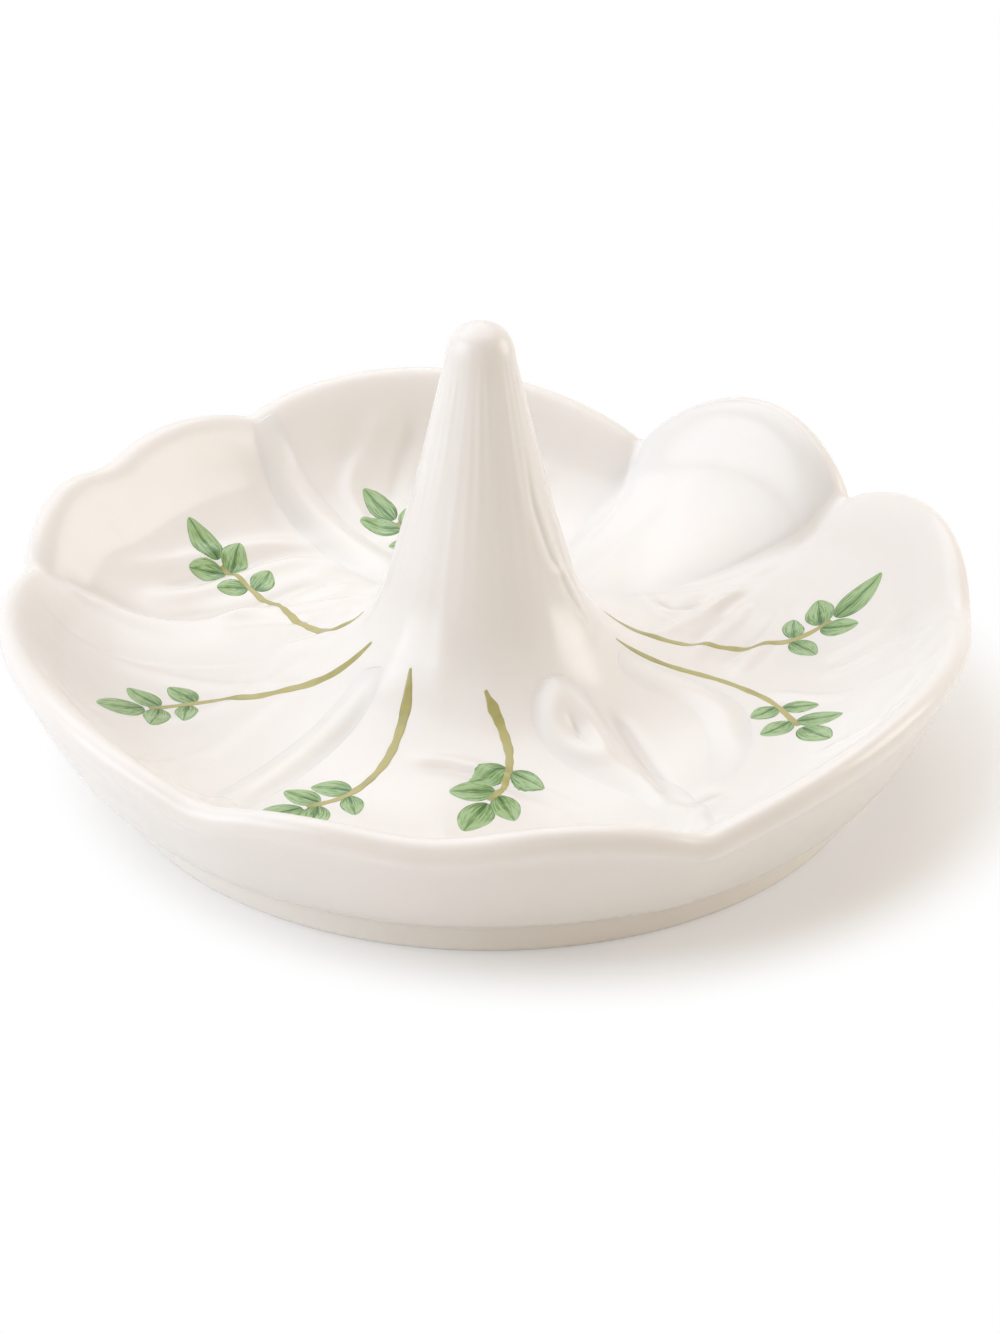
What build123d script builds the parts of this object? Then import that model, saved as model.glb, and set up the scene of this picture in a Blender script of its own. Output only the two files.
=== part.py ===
from build123d import *
import math
import os

# Ring dish: a porcelain saucer of overlapping leaves on a round foot, with a tall hollow cone for rings.
# Lengths are in mm and angles in degrees. The origin is the centre of the foot's resting face, +Z is up
# and the front of the dish is toward -Y. Azimuths turn from +X toward +Y.

# Dish: leaf-edged saucer with a rounded lip, a convex outer wall and a floor that flares up to the cone
rim_radius = 56.0
rim_height = 20.0
lip_radius = 1.4
lip_inset = 0.7
floor_height = 8.5
wall_thickness = 3.0
bowl_start_radius = 22.0
bowl_steepness = 4.0
wall_fullness = 0.5
flare_length = 7.0
recess_step = 1.5

# Foot ring: the thrown ring that the dish stands on, set in from the rim
rim_overhang = 11.5
foot_outer_radius = rim_radius - rim_overhang
foot_width = 4.0
foot_height = 4.2
foot_edge_radius = 0.8

# Each row is one leaf edge: the azimuth of the notch where it starts, that notch's radius and height,
# and how far the leaf swells up and out between its notches
leaf_edge_shares = (
    (-66, 0.994, 0.900, 0.195, -0.008),
    (0, 0.989, 0.927, 0.279, 0.016),
    (36.5, 0.991, 0.838, 0.435, 0.031),
    (69.5, 1.013, 0.778, 0.282, 0.027),
    (123.5, 0.996, 1.110, 0.114, 0.008),
    (148.5, 1.002, 1.132, 0.157, 0.023),
    (167, 1.014, 0.875, 0.196, -0.004),
    (236.5, 0.989, 0.941, 0.117, 0.007),
    (264, 1.002, 0.987, 0.160, 0.002),
)
lobe_sharpness = 0.72

# Ring cone: hollow spire luted to the dish's raised seat, a little left of the foot's centre. Its outline
# rows give the height as a share of the way from seat to top, and the radius as a share of the seat's.
cone_offset = -1.0
seat_radius = 13.8
seat_height = 17.5
cone_height = 55.0
cone_tip_radius = 3.9
cone_wall = 2.4
cone_outline_shares = (
    (0.12, 0.826),
    (0.25, 0.720),
    (0.40, 0.605),
    (0.56, 0.493),
    (0.72, 0.392),
    (0.85, 0.312),
)
hollow_shares = (0.12, 0.25, 0.40, 0.56)
hollow_top_share = 0.68

# Upright leaf: crowned cushion of clay bedded against the inside of the tallest leaf edge
leaf_half_width = 13.0
leaf_crown = 2.6
leaf_bed = 1.0

# Curled bud: teardrop with a dimpled eye, lying on the flare at the front right. It ends at the seventh
# row of its line, where its stalk butts against it and runs on to the front notch
bud_rows = 7
bud_half_width = 3.8
bud_crown = 1.7
bud_bed = 0.9
eye_radius = 2.2
eye_depth = 0.9
eye_share = 0.125
eye_azimuth = -58

# Stalks and roots: narrow raised strips that run from the cone's foot toward the notches
stalk_half_width = 1.6
stalk_crown = 0.9
stalk_bed = 0.8

# Lines that the moulded pieces follow over the dish. A row gives the distance as a share of the way from
# the seat's edge to the rim, the azimuth, and shares of the piece's half width and of its crown
leaf_line_shares = (
    (0.20, 63, 0.20, 0.15),
    (0.28, 62, 0.45, 0.45),
    (0.40, 60, 0.72, 0.75),
    (0.54, 58.5, 0.92, 0.95),
    (0.68, 57, 1.00, 1.00),
    (0.79, 55.5, 0.98, 0.95),
    (0.87, 54.5, 0.88, 0.80),
    (0.93, 54, 0.70, 0.55),
    (0.97, 53.5, 0.48, 0.40),
)
bud_and_stalk_line_shares = (
    (0.045, -57, 0.35, 0.35),
    (0.080, -57.5, 0.80, 0.80),
    (0.130, -58, 1.00, 1.00),
    (0.200, -58, 0.95, 0.90),
    (0.290, -56, 0.72, 0.75),
    (0.380, -54, 0.50, 0.60),
    (0.460, -53, 0.34, 0.50),
    (0.560, -54.5, 0.34, 0.45),
    (0.680, -58, 0.34, 0.45),
    (0.780, -61.5, 0.32, 0.45),
    (0.860, -64, 0.28, 0.45),
)
left_stalk_line_shares = (
    (0.045, -144, 0.70, 0.60),
    (0.140, -139, 1.00, 1.00),
    (0.270, -137, 1.00, 1.00),
    (0.420, -135.5, 0.95, 1.00),
    (0.560, -134, 0.90, 0.90),
    (0.720, -131, 0.80, 0.85),
    (0.840, -127.5, 0.65, 0.80),
)
back_rib_line_shares = (
    (0.060, 107, 0.70, 0.50),
    (0.220, 109, 0.90, 0.80),
    (0.420, 111.5, 1.00, 1.00),
    (0.620, 114.5, 1.00, 1.00),
    (0.780, 118, 0.90, 0.90),
    (0.880, 120.5, 0.75, 0.90),
)
right_root_line_shares = (
    (0.070, -17, 0.90, 0.45),
    (0.160, -13.5, 1.15, 0.60),
    (0.250, -12.5, 1.25, 0.65),
    (0.320, -16, 1.20, 0.60),
    (0.370, -23, 1.05, 0.50),
    (0.420, -32, 0.75, 0.35),
)

# How finely the leafy surfaces are drawn
ring_steps = 120
lip_angles = (-15, 35, 90, 145)
outer_wall_shares = (0.0, 0.0225, 0.09, 0.2, 0.36, 0.56, 0.81)
inner_wall_shares = (0.985, 0.93, 0.86, 0.77, 0.66, 0.54, 0.42, 0.3)
flare_shares = (0.9, 0.55, 0.25, 0.08, 0.0)
section_steps = 20
roof_steps = 8
tip_angles = (20, 50)
overrun = 2.0


def rim_at(azimuth):
    """Radius and height of the rim's crest: between two notches the leaf swells as a sine lobe."""
    first = leaf_edge_shares[0][0]
    bearing = (azimuth - first) % 360 + first
    rows = list(leaf_edge_shares) + [(first + 360,) + leaf_edge_shares[0][1:]]
    for here, after in zip(rows, rows[1:]):
        if here[0] <= bearing < after[0]:
            along = (bearing - here[0]) / (after[0] - here[0])
            lobe = math.sin(math.pi * along) ** lobe_sharpness
            radius_share = here[1] + (after[1] - here[1]) * along + here[4] * lobe
            height_share = here[2] + (after[2] - here[2]) * along + here[3] * lobe
            return rim_radius * radius_share, rim_height * height_share


def inner_radius(azimuth):
    """Radius of the lip's inner side."""
    return rim_at(azimuth)[0] - lip_inset - lip_radius


def bowl_share(radius, azimuth):
    """0 inside the bowl's start, rising to 1 at the lip's inner side."""
    return max(0, (radius - bowl_start_radius) / (inner_radius(azimuth) - bowl_start_radius))


def inner_height(radius, azimuth):
    """Height of the inner face: floor, plus the flare up to the cone, plus the bowl's rising wall."""
    flare = (seat_height - floor_height) * math.exp((seat_radius - radius) / flare_length)
    wall = rim_at(azimuth)[1] - lip_radius - floor_height
    return floor_height + flare + wall * bowl_share(radius, azimuth) ** bowl_steepness


def drift(radius, azimuth):
    """The rings are centred on the cone at the seat, and on the foot by the time they reach the rim."""
    return cone_offset * max(0, 1 - bowl_share(radius, azimuth))


def at(radius, azimuth, height, shift=0):
    """Point at a plan radius and azimuth, moved along X by shift."""
    turn = math.radians(azimuth)
    return Vector(shift + radius * math.cos(turn), radius * math.sin(turn), height)


def ring(point_at):
    """Closed smooth curve through one point per azimuth step."""
    azimuths = [360 * step / ring_steps for step in range(ring_steps)]
    steps = [float(step) for step in range(ring_steps + 1)]
    return Wire([Edge.make_spline([point_at(a) for a in azimuths], periodic=True, parameters=steps)])


def outer_wall_point(share, azimuth):
    """The wall swells out fast above the foot and then stands up to the lip."""
    crest_radius, crest_height = rim_at(azimuth)
    top_radius = crest_radius - lip_inset + lip_radius
    radius = foot_outer_radius + (top_radius - foot_outer_radius) * share**wall_fullness
    height = foot_height + (crest_height - lip_radius - foot_height) * share
    return at(radius, azimuth, height)


def lip_point(angle, azimuth):
    """The lip is a round bead, drawn from its outer side over the crest to its inner side."""
    crest_radius, crest_height = rim_at(azimuth)
    turn = math.radians(angle)
    radius = crest_radius - lip_inset + lip_radius * math.cos(turn)
    return at(radius, azimuth, crest_height - lip_radius + lip_radius * math.sin(turn))


def face_point(radius, azimuth):
    """Point on the dish's inner face."""
    return at(radius, azimuth, inner_height(radius, azimuth), drift(radius, azimuth))


def inner_wall_point(share, azimuth):
    """Share 0 is where the bowl starts and share 1 is the lip's inner side."""
    return face_point(bowl_start_radius + (inner_radius(azimuth) - bowl_start_radius) * share, azimuth)


def flare_point(share, azimuth):
    """Share 0 is the cone's seat and share 1 is where the bowl starts."""
    return face_point(seat_radius + (bowl_start_radius - seat_radius) * share, azimuth)


def dish_blank():
    """Skin through rings from the foot, up the wall, over the lip and down to the cone's seat."""
    rings = [ring(lambda a, s=share: outer_wall_point(s, a)) for share in outer_wall_shares]
    rings += [ring(lambda a, t=angle: lip_point(t, a)) for angle in lip_angles]
    rings += [ring(lambda a, s=share: inner_wall_point(s, a)) for share in inner_wall_shares]
    rings += [ring(lambda a, s=share: flare_point(s, a)) for share in flare_shares]
    return Solid.make_loft(rings)


def under_height(radius):
    """Height of the dish's underside: a flat roof that climbs beside the flare to the cone's opening."""
    roof = floor_height - wall_thickness
    opening_radius = seat_radius - wall_thickness
    return roof + (seat_height - roof) * math.exp((opening_radius - radius) / flare_length)


def turned(outline):
    """Solid turned about the cone's axis from an outline of edges drawn in the X-Z plane."""
    return Solid.revolve(Face(Wire(outline)), 360, Axis.Z).moved(Location((cone_offset, 0, 0)))


def underside():
    """Space under the dish, inside the foot ring and up into the cone."""
    edge_radius = foot_outer_radius - foot_width - recess_step
    opening_radius = seat_radius - wall_thickness
    span = edge_radius - opening_radius
    radii = [opening_radius + span * step / roof_steps for step in range(roof_steps + 1)]
    roof_line = Spline([Vector(r, 0, under_height(r)) for r in radii])
    bottom, top = foot_height - overrun, seat_height + overrun
    corners = [
        Vector(opening_radius, 0, seat_height),
        Vector(opening_radius, 0, top),
        Vector(0, 0, top),
        Vector(0, 0, bottom),
        Vector(edge_radius, 0, bottom),
        Vector(edge_radius, 0, under_height(edge_radius)),
    ]
    return turned([roof_line] + [Line(a, b) for a, b in zip(corners, corners[1:])])


def line_point(row):
    """Place on the dish of one row of a line."""
    return face_point(seat_radius + (rim_radius - seat_radius) * row[0], row[1])


def face_height(point):
    """Height of the inner face above or below any point."""
    azimuth = math.degrees(math.atan2(point.Y, point.X))
    across = point.X - drift(math.hypot(point.X, point.Y), azimuth)
    return inner_height(math.hypot(across, point.Y), math.degrees(math.atan2(point.Y, across)))


def section(row, along, half_width, crown, bed):
    """Lens across a line: it crowns above the dish's face and beds below it, and follows that face.

    It is drawn round from its lowest point.
    """
    centre = line_point(row)
    across = Vector(0, 0, 1).cross(along).normalized()
    lift = along.cross(across).normalized()
    points = []
    for step in range(section_steps):
        turn = 2 * math.pi * (step / section_steps - 1 / 4)
        side = centre + across * (half_width * row[2] * math.cos(turn))
        rise = (face_height(side) - centre.Z) * lift.Z
        thick = (crown * row[3] if math.sin(turn) > 0 else bed) * math.sin(turn)
        points.append(side + lift * (rise + thick))
    steps = [float(step) for step in range(section_steps + 1)]
    return Wire([Edge.make_spline(points, periodic=True, parameters=steps)])


def sections(line, half_width, crown, bed):
    """Lenses across a line, each square to the way from the row before it to the row after it."""
    points = [line_point(row) for row in line]
    ways = [after - before for before, after in zip([points[0]] + points, points[1:] + [points[-1]])]
    return [section(row, way, half_width, crown, bed) for row, way in zip(line, ways)]


def cone_radius(share):
    """Outer radius of the cone at a share of its height, from its outline."""
    rows = ((0.0, 1.0),) + cone_outline_shares
    for low, high in zip(rows, rows[1:]):
        if low[0] <= share <= high[0]:
            return seat_radius * (low[1] + (high[1] - low[1]) * (share - low[0]) / (high[0] - low[0]))
    return seat_radius * rows[-1][1]


def cone_place(share, radius):
    """Point of the cone's outline at a share of its height."""
    return Vector(radius, 0, seat_height + (cone_height - seat_height) * share)


def ring_cone():
    """Spire with a round tip, hollow up to two thirds of its height."""
    top = Vector(0, 0, cone_height)
    tip_centre = Vector(0, 0, cone_height - cone_tip_radius)
    turns = [math.radians(angle) for angle in tip_angles]
    tip = [tip_centre + Vector(math.cos(turn), 0, math.sin(turn)) * cone_tip_radius for turn in turns]
    side = [cone_place(0, seat_radius)] + [cone_place(s, seat_radius * r) for s, r in cone_outline_shares]
    flare_way = Vector(-flare_length, 0, seat_height - floor_height)
    outer = Spline(side + tip + [top], tangents=[flare_way, Vector(-1, 0, 0)])
    opening = cone_place(0, seat_radius - wall_thickness)
    inside = [opening] + [cone_place(s, cone_radius(s) - cone_wall) for s in hollow_shares]
    inner_top = cone_place(hollow_top_share, 0)
    inner = Spline(inside + [inner_top])
    return turned([outer, Line(top, inner_top), inner, Line(opening, side[0])])


def foot_ring():
    """Plain ring with rounded bottom edges and a flat resting face between them."""
    on_table = (Align.CENTER, Align.CENTER, Align.MIN)
    thrown = Cylinder(foot_outer_radius, foot_height, align=on_table)
    thrown -= Cylinder(foot_outer_radius - foot_width, foot_height, align=on_table)
    return fillet(thrown.edges().group_by(Axis.Z)[0], foot_edge_radius)


def stalk(line):
    """Narrow raised strip along a line."""
    return Solid.make_loft(sections(line, stalk_half_width, stalk_crown, stalk_bed))


upright_leaf = Solid.make_loft(sections(leaf_line_shares, leaf_half_width, leaf_crown, leaf_bed))
bud_sections = sections(bud_and_stalk_line_shares, bud_half_width, bud_crown, bud_bed)
bud_blank = Solid.make_loft(bud_sections[:bud_rows])
front_stalk = Solid.make_loft(bud_sections[bud_rows - 1:])
left_stalk = stalk(left_stalk_line_shares)
back_rib = stalk(back_rib_line_shares)
right_root = stalk(right_root_line_shares)

dish = Part() + dish_blank() - underside()
for bedded in (upright_leaf, bud_blank, front_stalk, left_stalk, back_rib, right_root):
    dish -= bedded

eye_centre = line_point((eye_share, eye_azimuth)) + Vector(0, 0, bud_crown - eye_depth + eye_radius)
curled_bud = bud_blank - Sphere(eye_radius).moved(Location(eye_centre))

nodes = {
    "foot_ring": foot_ring(),
    "dish": dish,
    "ring_cone": ring_cone(),
    "upright_leaf": upright_leaf,
    "curled_bud": curled_bud,
    "front_stalk": front_stalk,
    "left_stalk": left_stalk,
    "back_rib": back_rib,
    "right_root": right_root,
}
os.makedirs("parts", exist_ok=True)
for name, piece in nodes.items():
    export_step(piece, f"parts/{name}.step")
    print(name, "solids", len(piece.solids()), "volume", round(piece.volume, 1), "valid", piece.is_valid)
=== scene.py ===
import bpy
import math
import numpy as np
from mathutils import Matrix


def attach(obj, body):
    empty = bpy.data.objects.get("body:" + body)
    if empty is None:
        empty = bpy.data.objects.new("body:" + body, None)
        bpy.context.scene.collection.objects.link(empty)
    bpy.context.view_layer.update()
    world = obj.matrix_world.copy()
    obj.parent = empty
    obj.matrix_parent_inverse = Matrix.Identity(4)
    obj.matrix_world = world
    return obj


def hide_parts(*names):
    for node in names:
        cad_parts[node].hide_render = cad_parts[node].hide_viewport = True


# Porcelain ring dish, dressed for the studio. The dish's sizes are in mm, and a mesh is turned into metres as
# it is made. Textures, lamps and the camera are in metres. The origin is the centre of the foot's resting
# face, +Z is up and the front of the dish is toward -Y. Azimuths turn from +X toward +Y, in degrees.
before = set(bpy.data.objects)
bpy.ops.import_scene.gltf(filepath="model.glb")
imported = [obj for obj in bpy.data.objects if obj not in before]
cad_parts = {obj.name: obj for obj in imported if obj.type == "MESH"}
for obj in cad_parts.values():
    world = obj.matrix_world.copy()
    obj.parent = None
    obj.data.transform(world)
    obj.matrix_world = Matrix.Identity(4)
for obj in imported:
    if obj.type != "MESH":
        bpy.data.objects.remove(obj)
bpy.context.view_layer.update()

# ------
# Foot ring: a plain thrown ring of the dish's own white body. Its bottom edges are rounded off with a wet
# sponge, and the resting face is wiped clean of glaze before the firing.
foot_outer = 44.5
foot_inner = 40.5
foot_height = 4.2
foot_edge = 0.8
foot_around = 360


def turned_around(outline, around):
    """Rings of points: each (radius, height) of the outline is carried once round the vertical axis."""
    turn = np.linspace(0, 2 * np.pi, around, endpoint=False)
    radius, height = np.asarray(outline, float).T
    x = radius[:, None] * np.cos(turn)
    y = radius[:, None] * np.sin(turn)
    return np.stack([x, y, np.broadcast_to(height[:, None], x.shape)], axis=2)


def band_quads(rings, around, joined=False):
    """Corner numbers of the quads between neighbouring closed rings. Joined also ties the last ring to the
    first."""
    ring = np.arange(rings if joined else rings - 1)[:, None]
    place = np.arange(around)[None, :]
    after = (ring + 1) % rings
    right = (place + 1) % around
    corners = [ring * around + place, ring * around + right, after * around + right, after * around + place]
    return np.stack([np.broadcast_to(c, (ring.size, around)) for c in corners], axis=2).reshape(-1, 4)


def in_scene(name, data):
    """Object of that name and data, put into the scene."""
    thing = bpy.data.objects.new(name, data)
    bpy.context.scene.collection.objects.link(thing)
    return thing


def fired(name, points, quads, triangles=None, flat=None):
    """Closed mesh from points in mm, smooth but for the faces marked flat. The faces are turned outward: the
    sum of the signed volumes between the origin and each triangle has to be positive."""
    metres_per_mm = 0.001
    points = np.asarray(points, float).reshape(-1, 3) * metres_per_mm
    halves = [quads[:, [0, 1, 2]], quads[:, [0, 2, 3]]] + ([] if triangles is None else [triangles])
    a, b, c = (points[np.concatenate(halves)[:, k]] for k in range(3))
    faces = quads.tolist() + ([] if triangles is None else triangles.tolist())
    if np.einsum("ij,ij->", a, np.cross(b, c)) < 0:
        faces = [face[::-1] for face in faces]
    mesh = bpy.data.meshes.new(name)
    mesh.from_pydata(points.tolist(), [], faces)
    mesh.polygons.foreach_set("use_smooth", np.ones(len(faces), bool) if flat is None else ~flat)
    mesh.update()
    return in_scene(name, mesh)


def polar(radius, angle):
    """Both coordinates of a point at a radius and an angle in degrees."""
    turn = np.radians(angle)
    return radius * np.cos(turn), radius * np.sin(turn)


def quarter(centre_radius, centre_height, radius, first, last, steps=7):
    """Points on an arc in the outline's plane, from one angle to another in degrees."""
    across, up = polar(radius, np.linspace(first, last, steps))
    return np.stack([centre_radius + across, centre_height + up], axis=1)


# Two rounded edges, and rings up both walls that keep their shading flat
foot_outline = np.concatenate([
    quarter(foot_inner + foot_edge, foot_edge, foot_edge, 180, 270),
    quarter(foot_outer - foot_edge, foot_edge, foot_edge, 270, 360),
    [(foot_outer, 1.8), (foot_outer, 3.0), (foot_outer, foot_height), (foot_inner, foot_height), (foot_inner, 2.4)],
])
foot_rings = turned_around(foot_outline, foot_around)
foot = fired("foot_ring_glazed", foot_rings, band_quads(len(foot_outline), foot_around, joined=True))

# Glaze over porcelain: cream, with painted shade that darkens it in hollows and grooves and down the outer wall
# toward the foot, a cloudy tone that differs at random, a very slight ripple, and a few pin-sized iron specks. The
# hollow attribute, which carries the painted shade, is painted onto the dish and the cone.
glaze = bpy.data.node_groups.new("glaze_over_porcelain", "ShaderNodeTree")
for title, kind in (("Cream", "NodeSocketColor"), ("Shade_and_cloud", "NodeSocketColor"), ("Ripple", "NodeSocketFloat")):
    glaze.interface.new_socket(title, in_out="INPUT", socket_type=kind)
for title, kind in (("Color", "NodeSocketColor"), ("Roughness", "NodeSocketFloat"), ("Normal", "NodeSocketVector")):
    glaze.interface.new_socket(title, in_out="OUTPUT", socket_type=kind)


def feed(tree, socket, value):
    """Sets an input to a value, or links it to a socket or to the first output of a node."""
    source = value.outputs[0] if isinstance(value, bpy.types.Node) else value
    if isinstance(source, bpy.types.NodeSocket):
        tree.links.new(source, socket)
    else:
        socket.default_value = source


def add(tree, kind, *feeds, **values):
    """Node of that kind in the tree. Each value goes to the property or input of that name, and the feeds go
    into the first inputs in their order. The nodes are laid out in rows of six, in the order of making."""
    row, column = divmod(len(tree.nodes), 6)
    node = tree.nodes.new(kind)
    node.location = (column * 220, -(row + 1) * 320)
    for key, value in values.items():
        if hasattr(node, key):
            setattr(node, key, value)
        else:
            feed(tree, node.inputs[key.replace("_", " ")], value)
    for socket, value in zip(node.inputs, feeds):
        feed(tree, socket, value)
    return node


def maths(tree, operation, *feeds, clamped=False):
    """Math node with that operation on its feeds."""
    return add(tree, "ShaderNodeMath", *feeds, operation=operation, use_clamp=clamped)


def graded(tree, value, low, high, start, end):
    """Map Range node: straight from start at low to end at high, and level beyond them."""
    return add(tree, "ShaderNodeMapRange", value, low, high, start, end)


def blended(tree, share, first, second):
    """Colour between the first, at a share of 0, and the second, at 1."""
    node = add(tree, "ShaderNodeMix", share, data_type="RGBA")
    feed(tree, node.inputs[6], first)
    feed(tree, node.inputs[7], second)
    return node.outputs[2]


glaze_in = add(glaze, "NodeGroupInput").outputs
where = add(glaze, "ShaderNodeTexCoord").outputs["Object"]
hollow = add(glaze, "ShaderNodeAttribute", attribute_name="hollow").outputs["Fac"]
cloud = add(glaze, "ShaderNodeTexNoise", where, Scale=45.0, Detail=3.0, Roughness=0.55)
# Painted shade: the squared hollow attribute darkens the cream toward the second colour, and a cloud adds random
# tone
hollow_shade = maths(glaze, "MULTIPLY", hollow, hollow)
drifted = graded(glaze, cloud, 0.35, 0.75, 0.0, 0.22)
shade_and_cloud = maths(glaze, "ADD", hollow_shade, drifted, clamped=True)
tint = blended(glaze, shade_and_cloud, glaze_in["Cream"], glaze_in["Shade_and_cloud"])
speck_cells = add(glaze, "ShaderNodeTexVoronoi", where, Scale=62.0)
speck_near = graded(glaze, speck_cells, 0.012, 0.022, 1.0, 0.0)
speck_pick = add(glaze, "ShaderNodeSeparateColor", speck_cells.outputs["Color"])
speck_rare = maths(glaze, "GREATER_THAN", speck_pick, 0.93)
speck = maths(glaze, "MULTIPLY", speck_near, speck_rare)
speck_soft = maths(glaze, "MULTIPLY", speck, 0.45)
speckled = blended(glaze, speck_soft, tint, (0.2, 0.13, 0.07, 1))
ripples = add(glaze, "ShaderNodeTexNoise", where, Scale=260.0, Detail=2.0, Roughness=0.5)
sheen = graded(glaze, ripples, 0.3, 0.7, 0.205, 0.262)
ripple_bump = add(glaze, "ShaderNodeBump", Strength=glaze_in["Ripple"], Distance=0.00004, Height=ripples)
add(glaze, "NodeGroupOutput", speckled, sheen, ripple_bump)


def new_material(name):
    """Material of that name, with its node tree and its Principled node."""
    material = bpy.data.materials.new(name)
    material.use_nodes = True
    return material, material.node_tree, material.node_tree.nodes["Principled BSDF"]


def glazed(name, cream, shade_and_cloud_colour, ripple):
    """Porcelain under the glaze group: glossy, with light that travels a little way in."""
    material, tree, body = new_material(name)
    body.inputs["IOR"].default_value = 1.5
    body.inputs["Subsurface Weight"].default_value = 0.12
    body.inputs["Subsurface Radius"].default_value = (1.0, 0.65, 0.4)
    body.inputs["Subsurface Scale"].default_value = 0.0016
    group = add(tree, "ShaderNodeGroup", cream, shade_and_cloud_colour, ripple, node_tree=glaze)
    for source, target in (("Color", "Base Color"), ("Roughness", "Roughness"), ("Normal", "Normal")):
        tree.links.new(group.outputs[source], body.inputs[target])
    return material


foot_glaze = glazed("foot_glaze", (0.96, 0.935, 0.885, 1), (0.88, 0.83, 0.74, 1), 0.3)
foot.data.materials.append(foot_glaze)
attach(foot, "root")
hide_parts("foot_ring")

# ------
# Dish: one saucer of overlapping leaves, cast in a plaster mould and cleaned up by hand. The rim follows the
# leaf edges, the inner face rises from a flat floor to the rim and to the cone, and shallow veins and folds
# are moulded into it. The same face carries every piece that is laid on it later.
rim_radius = 56.0
rim_height = 20.0
lip_radius = 1.4
lip_inset = 0.7
floor_height = 8.5
bowl_start = 22.0
bowl_steepness = 4.0
wall_fullness = 0.5
flare_length = 7.0
dish_thickness = 3.0
underside_edge = 39.0
bed_radius = 42.0
seat_radius = 13.8
seat_height = 17.5
seat_opening = 10.8
seat_overlap = 1.2
cone_offset = -1.0

# One row per leaf edge: azimuth of the notch that it starts from, the notch's radius and height as shares of
# the rim's, and how far the leaf swells up and out between its notches. The last row is the first one again
leaf_edges = np.array([
    (-66, 0.994, 0.9, 0.195, -0.008),
    (0, 0.989, 0.927, 0.279, 0.016),
    (36.5, 0.991, 0.838, 0.435, 0.031),
    (69.5, 1.013, 0.778, 0.282, 0.027),
    (123.5, 0.996, 1.11, 0.114, 0.008),
    (148.5, 1.002, 1.132, 0.157, 0.023),
    (167, 1.014, 0.875, 0.196, -0.004),
    (236.5, 0.989, 0.941, 0.117, 0.007),
    (264, 1.002, 0.987, 0.16, 0.002),
    (294, 0.994, 0.9, 0.195, -0.008),
])


def cut_rim(azimuth):
    """Radius and height of the rim as cut: straight between two notches, plus a sine lobe raised to a power
    below 1, which makes it full."""
    bearing = (azimuth - leaf_edges[0, 0]) % 360 + leaf_edges[0, 0]
    leaf = np.clip(np.searchsorted(leaf_edges[:, 0], bearing, side="right") - 1, 0, len(leaf_edges) - 2)
    here, after = leaf_edges[leaf], leaf_edges[leaf + 1]
    along = (bearing - here[..., 0]) / (after[..., 0] - here[..., 0])
    fullness = 0.72
    lobe = np.sin(np.pi * np.clip(along, 0, 1)) ** fullness
    radius = here[..., 1] + (after[..., 1] - here[..., 1]) * along + here[..., 4] * lobe
    height = here[..., 2] + (after[..., 2] - here[..., 2]) * along + here[..., 3] * lobe
    return rim_radius * radius, rim_height * height


# Notches are sponged, some hardly and the front ones nearly flat: half the width in degrees that is evened
# out round each notch, in the order of the rows above
sponged = (2.2, 5, 1.2, 1.0, 2.0, 4.0, 1.2, 3.2, 9)
rim_bearings = np.arange(0, 360, 0.25)
reach = sum(
    width * np.exp(-((((rim_bearings - row[0] + 180) % 360 - 180) / (2.2 * width)) ** 2))
    for width, row in zip(sponged, leaf_edges)
)
spread = [cut_rim(rim_bearings + step * reach) for step in np.linspace(-1, 1, 9)]
weights = np.hanning(11)[1:-1] / np.hanning(11).sum()
sponged_radius, sponged_height = (sum(w * v[k] for w, v in zip(weights, spread)) for k in (0, 1))


def rim_at(azimuth):
    """Radius and height of the sponged rim's crest, read between steps of a quarter degree."""
    return (np.interp(azimuth, rim_bearings, sponged_radius, period=360),
            np.interp(azimuth, rim_bearings, sponged_height, period=360))


def bowl_share(radius, azimuth):
    """0 at the bowl's start and inside it, 1 at the lip's inner side."""
    inner = rim_at(azimuth)[0] - lip_inset - lip_radius
    return np.clip((radius - bowl_start) / (inner - bowl_start), 0, None)


def flare_height(radius):
    """Height of the floor and of its exponential flare up to the cone."""
    return floor_height + (seat_height - floor_height) * np.exp((seat_radius - radius) / flare_length)


# The wall rounds over to the bead: from this share of the way to the lip up to the bead's top. Angles round
# the bead are in degrees from its outer side, where it begins, to where the inner face meets it
shoulder_share = 0.84
bead_start = 8
bead_end = 111
meeting = np.radians(bead_end)


def crest_edge(azimuth):
    """Radius and height at which the inner face meets the bead's top."""
    radius, height = rim_at(azimuth)
    return radius - lip_inset + lip_radius * np.cos(meeting), height - lip_radius * (1 - np.sin(meeting))


def cubic(t, start, start_way, end, end_way):
    """Cubic from start at t = 0 to end at t = 1 with those slopes: each is weighted with its own cubic in t."""
    return (start * (2 * t**3 - 3 * t**2 + 1) + start_way * (t**3 - 2 * t**2 + t)
            + end * (3 * t**2 - 2 * t**3) + end_way * (t**3 - t**2))


def plain_face(radius, azimuth):
    """Height of the inner face without veins: the flare, and a wall that rises with the fourth power of the
    way to the lip, until a cubic with the same slopes at its ends takes it over to the bead's top."""
    crest_radius, crest_height = rim_at(azimuth)
    bowl_width = crest_radius - lip_inset - lip_radius - bowl_start
    wall = crest_height - lip_radius - floor_height
    rising = flare_height(radius) + wall * bowl_share(radius, azimuth) ** bowl_steepness
    start = bowl_start + shoulder_share * bowl_width
    end, top = crest_edge(azimuth)
    t = np.clip((radius - start) / (end - start), 0, 1)
    low = flare_height(start) + wall * shoulder_share**bowl_steepness
    low_slope = wall * bowl_steepness * shoulder_share ** (bowl_steepness - 1) / bowl_width * (end - start)
    top_slope = -np.cos(meeting) / np.sin(meeting) * (end - start)
    return np.where(t > 0, cubic(t, low, low_slope, top, top_slope), rising)


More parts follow.
